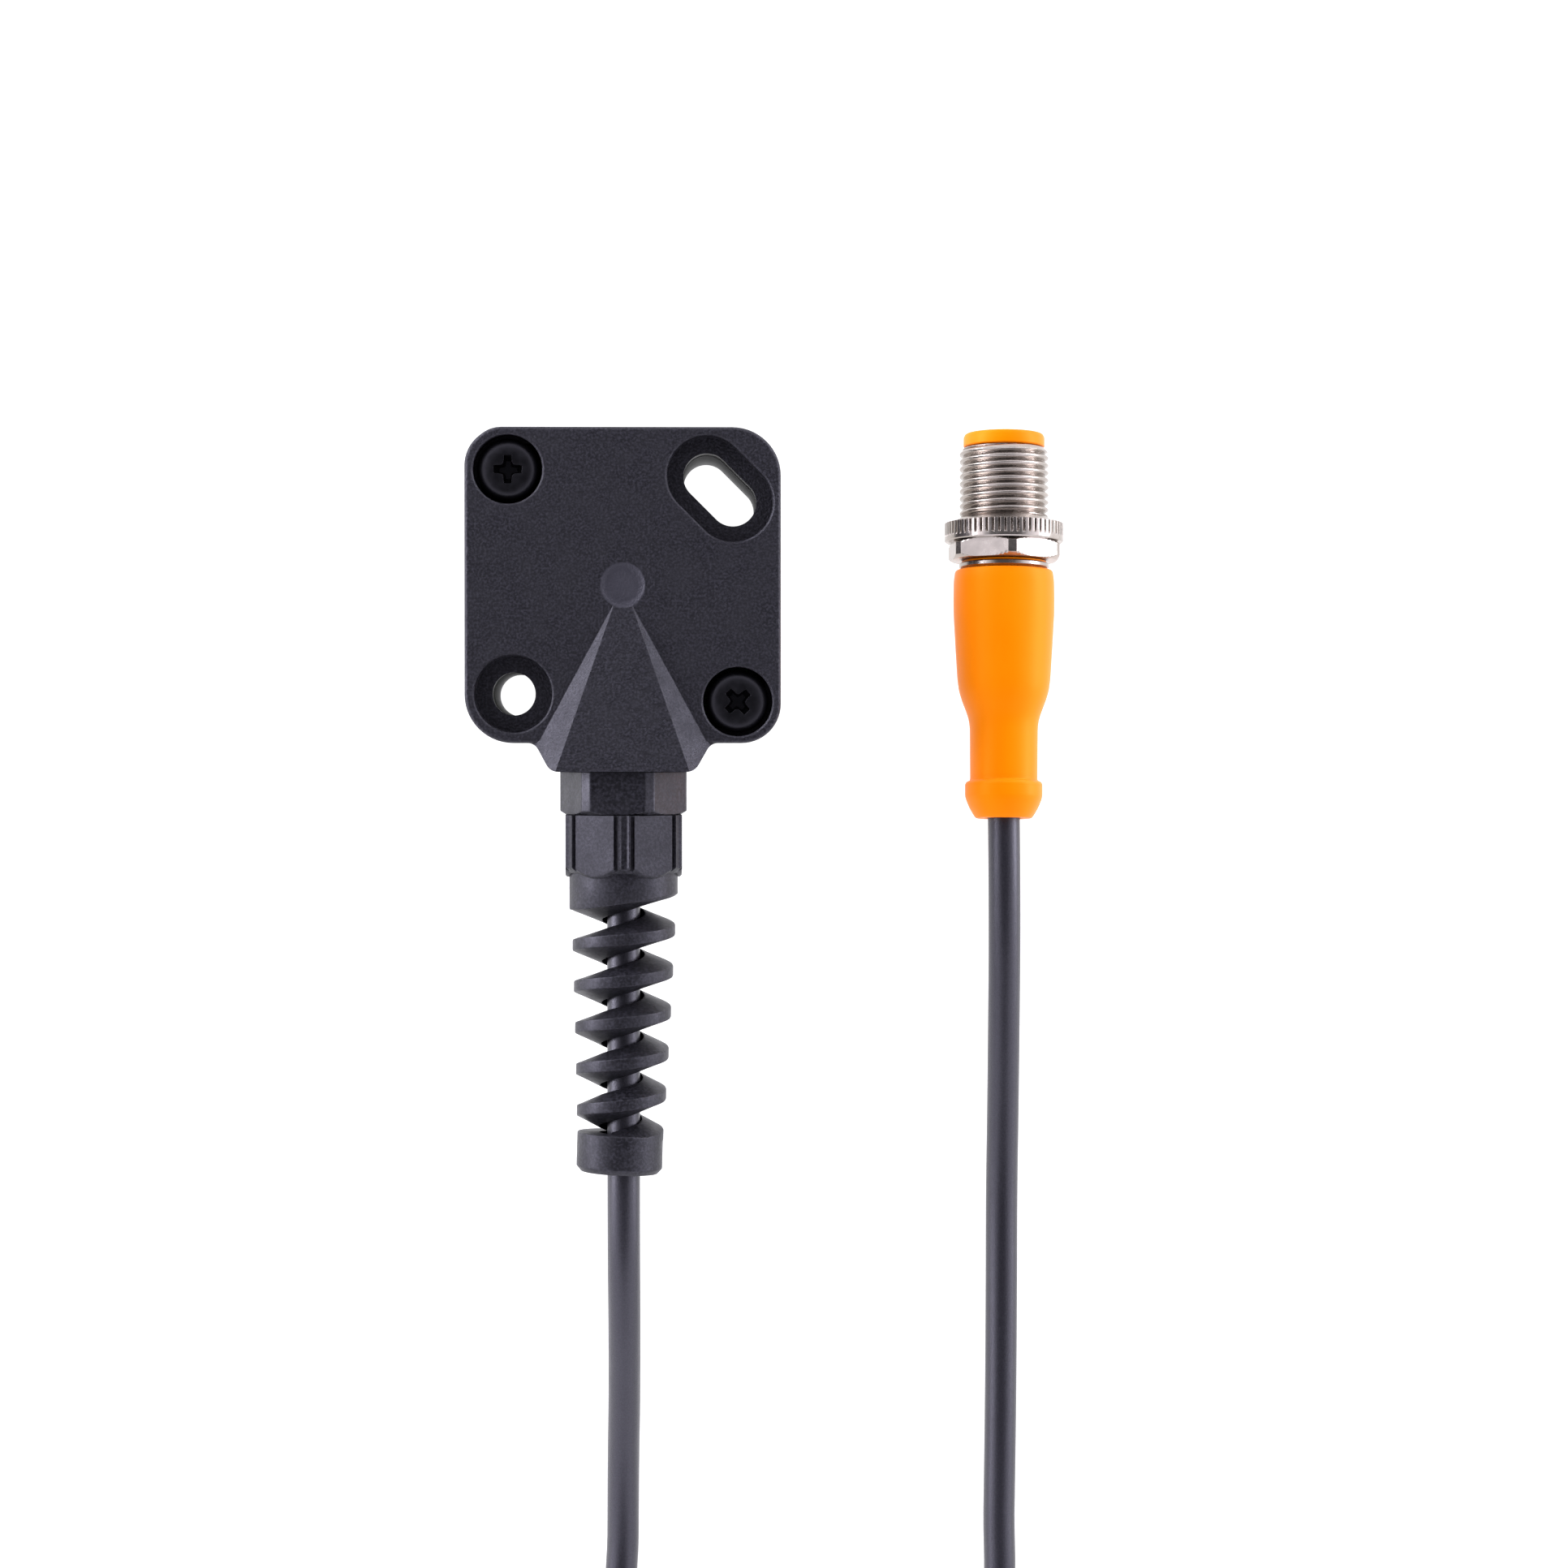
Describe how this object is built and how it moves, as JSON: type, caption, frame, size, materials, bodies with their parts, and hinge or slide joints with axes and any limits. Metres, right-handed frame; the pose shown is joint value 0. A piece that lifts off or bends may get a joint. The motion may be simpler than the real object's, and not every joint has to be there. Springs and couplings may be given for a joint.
{
  "type": "photoelectric sensor",
  "caption": "Square block photoelectric sensor with round and slotted mounting holes, a spiral cable gland and a pigtail cable ending in a threaded round plug.",
  "frame": {"origin": "centre of the mounting face, the hidden flat side of the block", "axes": "+Z out of the side with the screws and counterbores, +Y away from the cable gland, the light leaves towards -X"},
  "size_m": [0.0793, 0.187, 0.0283],
  "materials": {
    "black_plastic": "fine spark texture",
    "dark_plastic": "matt",
    "stainless_steel": "turned",
    "blackened_steel": "black passivated, satin",
    "brass": "turned",
    "gold_plate": "bright plating",
    "nickel_plate": "satin nickel plating",
    "seal_rubber": "matt",
    "tinted_window": "clear dark red tint",
    "clear_lens": "polished",
    "circuit_board": "green solder mask",
    "chip_plastic": "matt epoxy",
    "led_resin": "clear resin over a chip",
    "cable_jacket": "matt polyurethane jacket",
    "orange_plastic": "satin moulded",
    "brown_core": "smooth insulation",
    "white_core": "smooth insulation",
    "blue_core": "smooth insulation",
    "black_core": "smooth insulation"
  },
  "bodies": {
    "sensor": {"housing": "black_plastic", "base_cover": "black_plastic", "perimeter_gasket": "seal_rubber", "mounting_sleeve_round": "stainless_steel", "mounting_sleeve_slotted": "stainless_steel", "sleeve_seal_round": "seal_rubber", "sleeve_seal_slotted": "seal_rubber", "cover_screw_1": "blackened_steel", "cover_screw_2": "blackened_steel", "threaded_column_1": "brass", "threaded_column_2": "brass", "front_window": "tinted_window", "optics_holder": "dark_plastic", "emitter_lens": "clear_lens", "receiver_lens": "clear_lens", "light_guide": "clear_lens", "optics_board": "circuit_board", "emitter_led": "led_resin", "receiver_photodiode": "chip_plastic", "indicator_led": "led_resin", "main_board": "circuit_board", "terminal_block": "chip_plastic", "processor_chip": "chip_plastic", "regulator_chip": "chip_plastic", "filter_capacitor": "stainless_steel", "core_brown": "brown_core", "core_white": "white_core", "core_blue": "blue_core", "core_black": "black_core", "gland_body": "black_plastic", "gland_o_ring": "seal_rubber", "gland_seal_insert": "seal_rubber", "spiral_nut": "black_plastic", "cable_inner": "cable_jacket", "cable": "cable_jacket", "contact_carrier": "orange_plastic", "contact_pin_1": "gold_plate", "contact_pin_2": "gold_plate", "contact_pin_3": "gold_plate", "contact_pin_4": "gold_plate", "retaining_ring": "nickel_plate", "plug_body": "orange_plastic"},
    "coupling_nut": {"coupling_nut": "nickel_plate"}
  },
  "joints": [
    {"name": "coupling_nut_turn", "type": "hinge", "parent": "sensor", "child": "coupling_nut", "pos_m": [0.05084, 0.01097, 0.00778], "axis": [0.0057, 0.9975, -0.0698], "continuous": true}
  ]
}
